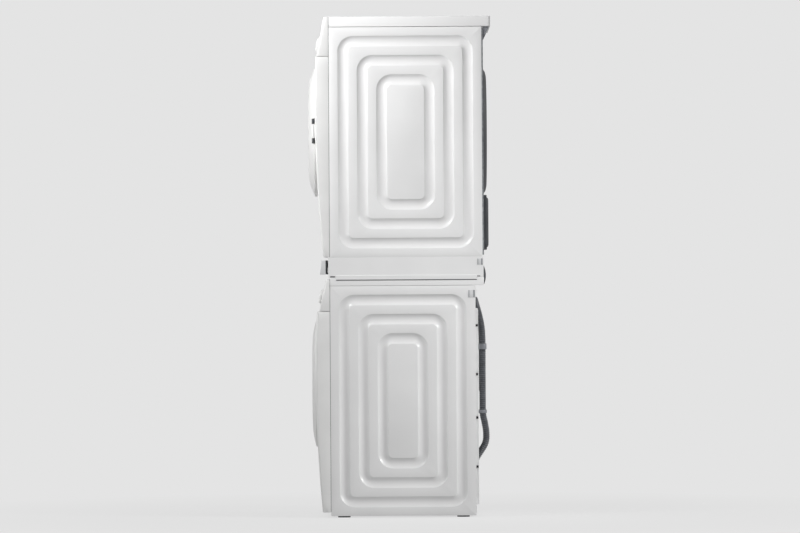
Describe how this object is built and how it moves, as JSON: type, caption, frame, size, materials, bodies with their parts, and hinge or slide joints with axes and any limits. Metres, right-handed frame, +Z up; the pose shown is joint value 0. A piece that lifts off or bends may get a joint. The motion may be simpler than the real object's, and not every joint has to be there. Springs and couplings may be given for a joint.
{
  "type": "washer dryer stack",
  "caption": "Front-loading washer with a tumble dryer stacked on it, joined by a kit with a pull-out shelf; doors, drums, drawers, dials and buttons move.",
  "frame": {"origin": "on the floor, under the middle of the whole stack", "axes": "+Z up, -Y towards the front of both machines, +X towards the right as seen by someone facing the machines from the front"},
  "size_m": [0.605, 0.641, 1.754],
  "materials": {
    "white_enamel": "semi-gloss enamel on pressed steel",
    "white_plastic": "fine satin moulding",
    "worktop_white": "smooth laminate",
    "light_plastic": "satin",
    "dark_plastic": "matt",
    "galvanised_steel": "zinc coated",
    "stainless_steel": "brushed",
    "silver_trim": "silver paint",
    "grey_rubber": "matt",
    "black_rubber": "matt",
    "tub_plastic": "glass-filled polypropylene",
    "cast_aluminium": "as cast",
    "motor_iron": "varnished laminations",
    "concrete": "cast",
    "door_glass": "polished"
  },
  "bodies": {
    "cabinet": {"feet": "dark_plastic", "washer_base": "dark_plastic", "dryer_base": "dark_plastic", "washer_side_left": "white_enamel", "washer_side_right": "white_enamel", "dryer_side_left": "white_enamel", "dryer_side_right": "white_enamel", "washer_rear_panel": "white_enamel", "dryer_rear_panel": "galvanised_steel", "washer_worktop": "worktop_white", "dryer_worktop": "worktop_white", "washer_front_panel": "white_enamel", "dryer_front_panel": "white_enamel", "washer_control_panel": "white_plastic", "dryer_control_panel": "white_plastic", "dispenser_housing": "light_plastic", "hinge_brackets": "white_enamel", "washer_gasket": "grey_rubber", "washer_tub": "tub_plastic", "washer_belt": "black_rubber", "washer_motor": "motor_iron", "counterweights": "concrete", "tub_springs": "galvanised_steel", "tub_dampers": "dark_plastic", "drain_pump": "dark_plastic", "inlet_valve": "light_plastic", "drain_hose": "dark_plastic", "hose_clips": "light_plastic", "kit_frame": "white_enamel", "kit_brackets": "light_plastic", "dryer_air_duct": "dark_plastic", "dryer_fan_cover": "dark_plastic", "worktop_brackets": "dark_plastic", "dryer_bulkhead": "light_plastic", "dryer_belt": "black_rubber", "dryer_motor": "motor_iron", "condenser": "cast_aluminium"},
    "washer_door": {"washer_door_frame": "white_plastic", "washer_door_glass": "door_glass", "washer_door_hinge": "dark_plastic"},
    "washer_drum": {"washer_drum": "stainless_steel", "washer_lifters": "light_plastic", "washer_drum_pulley": "cast_aluminium"},
    "washer_motor_shaft": {"washer_motor_pulley": "galvanised_steel"},
    "washer_dial": {"washer_dial": "white_plastic"},
    "washer_start_button": {"washer_start_button": "white_plastic"},
    "detergent_drawer": {"detergent_drawer": "white_plastic"},
    "pump_filter": {"pump_filter": "dark_plastic"},
    "pump_flap": {"pump_flap": "white_plastic"},
    "kit_shelf": {"kit_shelf": "white_enamel", "kit_shelf_front": "white_plastic"},
    "dryer_door": {"dryer_door_frame": "white_plastic", "dryer_door_glass": "door_glass", "dryer_door_hinge": "dark_plastic"},
    "dryer_drum": {"dryer_drum": "stainless_steel"},
    "dryer_rotor": {"dryer_rotor": "galvanised_steel"},
    "dryer_dial": {"dryer_dial": "white_plastic"},
    "dryer_start_button": {"dryer_start_button": "white_plastic"},
    "water_tank": {"water_tank": "light_plastic"},
    "lint_filter": {"lint_filter": "light_plastic"}
  },
  "joints": [
    {"name": "washer_door_hinge", "type": "hinge", "parent": "cabinet", "child": "washer_door", "pos_m": [-0.2165, -0.2995, 0.463], "axis": [0, 0, -1], "range_deg": [0, 130]},
    {"name": "dryer_door_hinge", "type": "hinge", "parent": "cabinet", "child": "dryer_door", "pos_m": [0.2215, -0.3025, 1.356], "axis": [0, 0, 1], "range_deg": [0, 120]},
    {"name": "washer_drum_spin", "type": "hinge", "parent": "cabinet", "child": "washer_drum", "pos_m": [0, 0, 0.463], "axis": [0, 1, 0], "continuous": true},
    {"name": "washer_motor_spin", "type": "hinge", "parent": "cabinet", "child": "washer_motor_shaft", "pos_m": [-0.08, 0, 0.118], "axis": [0, 1, 0], "continuous": true},
    {"name": "dryer_drum_spin", "type": "hinge", "parent": "cabinet", "child": "dryer_drum", "pos_m": [0, 0, 1.356], "axis": [0, 1, 0], "continuous": true},
    {"name": "dryer_rotor_spin", "type": "hinge", "parent": "cabinet", "child": "dryer_rotor", "pos_m": [0.12, 0, 1.024], "axis": [0, 1, 0], "continuous": true},
    {"name": "washer_dial_turn", "type": "hinge", "parent": "cabinet", "child": "washer_dial", "pos_m": [0, -0.27279, 0.773], "axis": [0, -0.9778, 0.2095], "continuous": true},
    {"name": "dryer_dial_turn", "type": "hinge", "parent": "cabinet", "child": "dryer_dial", "pos_m": [0, -0.27944, 1.666], "axis": [0, -0.984, 0.1783], "continuous": true},
    {"name": "washer_start_press", "type": "slide", "parent": "cabinet", "child": "washer_start_button", "axis": [0, 0.9778, -0.2095], "range_m": [0, 0.0015], "stiffness_N_per_m": 900},
    {"name": "dryer_start_press", "type": "slide", "parent": "cabinet", "child": "dryer_start_button", "axis": [0, 0.984, -0.1783], "range_m": [0, 0.0015], "stiffness_N_per_m": 900},
    {"name": "detergent_drawer_slide", "type": "slide", "parent": "cabinet", "child": "detergent_drawer", "axis": [0, -1, 0], "range_m": [0, 0.18]},
    {"name": "water_tank_slide", "type": "slide", "parent": "cabinet", "child": "water_tank", "axis": [0, -1, 0], "range_m": [0, 0.3]},
    {"name": "kit_shelf_slide", "type": "slide", "parent": "cabinet", "child": "kit_shelf", "axis": [0, -1, 0], "range_m": [0, 0.35]},
    {"name": "lint_filter_lift", "type": "slide", "parent": "cabinet", "child": "lint_filter", "axis": [0, 0, 1], "range_m": [0, 0.11]},
    {"name": "pump_flap_hinge", "type": "hinge", "parent": "cabinet", "child": "pump_flap", "pos_m": [0.195, -0.2779, 0.05], "axis": [1, 0, 0], "range_deg": [0, 90]},
    {"name": "pump_filter_turn", "type": "hinge", "parent": "cabinet", "child": "pump_filter", "pos_m": [0.195, 0, 0.093], "axis": [0, 1, 0], "range_deg": [0, 270]}
  ],
  "couplings": [
    {"joint": "washer_motor_spin", "follows": "washer_drum_spin", "ratio": 12.5},
    {"joint": "dryer_rotor_spin", "follows": "dryer_drum_spin", "ratio": 28}
  ]
}
